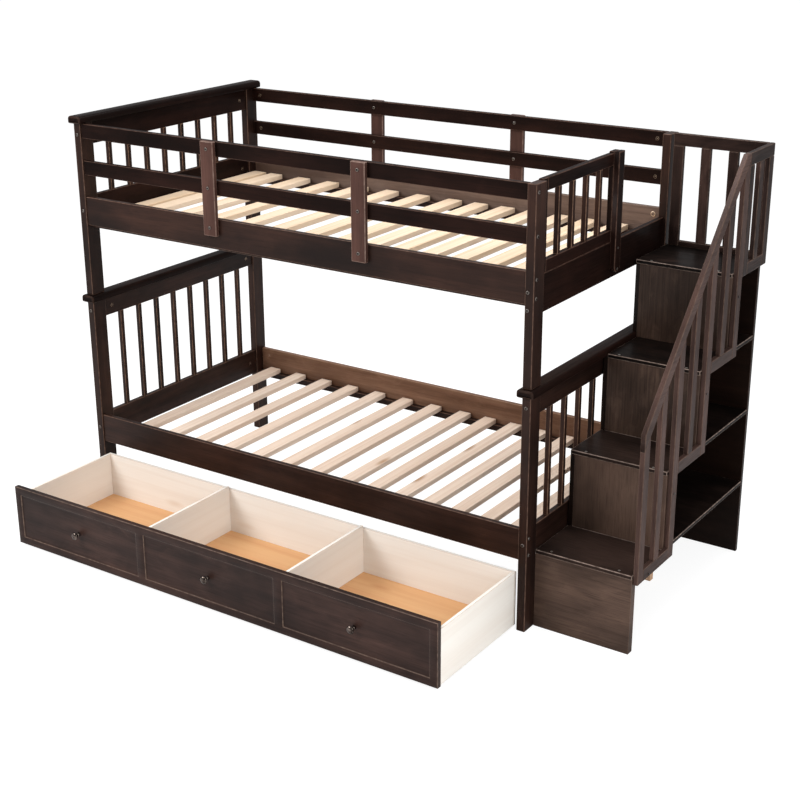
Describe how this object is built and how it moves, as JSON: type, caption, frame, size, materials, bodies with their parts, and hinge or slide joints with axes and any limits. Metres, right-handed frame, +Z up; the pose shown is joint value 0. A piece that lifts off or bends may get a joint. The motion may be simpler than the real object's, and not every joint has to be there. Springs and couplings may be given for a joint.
{
  "type": "bunk bed with storage stairs",
  "caption": "Full-width wooden bunk bed with a castered under-bed drawer, slatted head ends and a side staircase with open cubbies and a stepped handrail.",
  "frame": {"origin": "centre of the whole object's footprint, drawer pulled out, on the floor", "axes": "+X along the bed from the headboard to the stairs, +Y from the drawer front to the back, +Z up"},
  "size_m": [2.4184, 1.595, 1.605],
  "materials": {
    "stained_wood": "espresso stain with satin lacquer",
    "raw_pine": "planed and left raw",
    "drawer_board": "pale lacquered board",
    "drawer_base": "thin ply, pale lacquer",
    "dark_bronze": "dark bronze",
    "zinc_steel": "zinc plated",
    "black_steel": "blackened",
    "wheel_plastic": "moulded"
  },
  "bodies": {
    "bed": {"back_guard_balusters": "stained_wood", "back_guard_frame": "stained_wood", "back_guard_rails": "stained_wood", "barrel_nuts": "zinc_steel", "dowel_pins": "zinc_steel", "end_guard_balusters": "stained_wood", "end_guard_rails": "stained_wood", "end_guard_stiles": "stained_wood", "frame_bolts": "black_steel", "front_guard_rails": "stained_wood", "guard_straps": "stained_wood", "handrail_balusters": "stained_wood", "handrail_low_rails": "stained_wood", "handrail_stiles": "stained_wood", "handrail_top_rails": "stained_wood", "lower_back_side_rail": "stained_wood", "lower_front_side_rail": "stained_wood", "lower_head_rails": "stained_wood", "lower_ledgers": "stained_wood", "lower_left_back_post": "stained_wood", "lower_left_balusters": "stained_wood", "lower_left_cap": "stained_wood", "lower_left_front_post": "stained_wood", "lower_right_back_post": "stained_wood", "lower_right_balusters": "stained_wood", "lower_right_cap": "stained_wood", "lower_right_front_post": "stained_wood", "lower_slats": "raw_pine", "stair_back_panel": "stained_wood", "stair_battens": "raw_pine", "stair_boards": "stained_wood", "stair_risers": "stained_wood", "stair_side_panels": "stained_wood", "stair_support_leg": "raw_pine", "upper_back_side_rail": "stained_wood", "upper_end_rail": "stained_wood", "upper_front_side_rail": "stained_wood", "upper_head_low_rail": "stained_wood", "upper_head_top_rail": "stained_wood", "upper_ledgers": "stained_wood", "upper_left_back_post": "stained_wood", "upper_left_balusters": "stained_wood", "upper_left_cap": "stained_wood", "upper_left_front_post": "stained_wood", "upper_right_back_post": "stained_wood", "upper_right_front_post": "stained_wood", "upper_slats": "raw_pine", "wood_screws": "black_steel"},
    "drawer": {"drawer_back": "drawer_board", "drawer_bottom": "drawer_base", "drawer_dividers": "drawer_board", "drawer_front": "stained_wood", "drawer_knobs": "dark_bronze", "drawer_sides": "drawer_board", "caster_brackets": "zinc_steel", "caster_axles": "zinc_steel"},
    "wheel_1": {"caster_wheel_1": "wheel_plastic"},
    "wheel_2": {"caster_wheel_2": "wheel_plastic"},
    "wheel_3": {"caster_wheel_3": "wheel_plastic"},
    "wheel_4": {"caster_wheel_4": "wheel_plastic"}
  },
  "joints": [
    {"name": "drawer_slide", "type": "slide", "parent": "bed", "child": "drawer", "axis": [0, 1, 0], "range_m": [0, 0.497]},
    {"name": "wheel_1_spin", "type": "hinge", "parent": "drawer", "child": "wheel_1", "pos_m": [-1.08425, -0.7015, 0.014], "axis": [1, 0, 0], "continuous": true},
    {"name": "wheel_2_spin", "type": "hinge", "parent": "drawer", "child": "wheel_2", "pos_m": [0.72175, -0.7015, 0.014], "axis": [1, 0, 0], "continuous": true},
    {"name": "wheel_3_spin", "type": "hinge", "parent": "drawer", "child": "wheel_3", "pos_m": [-1.08425, -0.3285, 0.014], "axis": [1, 0, 0], "continuous": true},
    {"name": "wheel_4_spin", "type": "hinge", "parent": "drawer", "child": "wheel_4", "pos_m": [0.72175, -0.3285, 0.014], "axis": [1, 0, 0], "continuous": true}
  ],
  "couplings": [
    {"joint": "wheel_1_spin", "follows": "drawer_slide", "rad_per_m": -71.429},
    {"joint": "wheel_2_spin", "follows": "drawer_slide", "rad_per_m": -71.429},
    {"joint": "wheel_3_spin", "follows": "drawer_slide", "rad_per_m": -71.429},
    {"joint": "wheel_4_spin", "follows": "drawer_slide", "rad_per_m": -71.429}
  ]
}
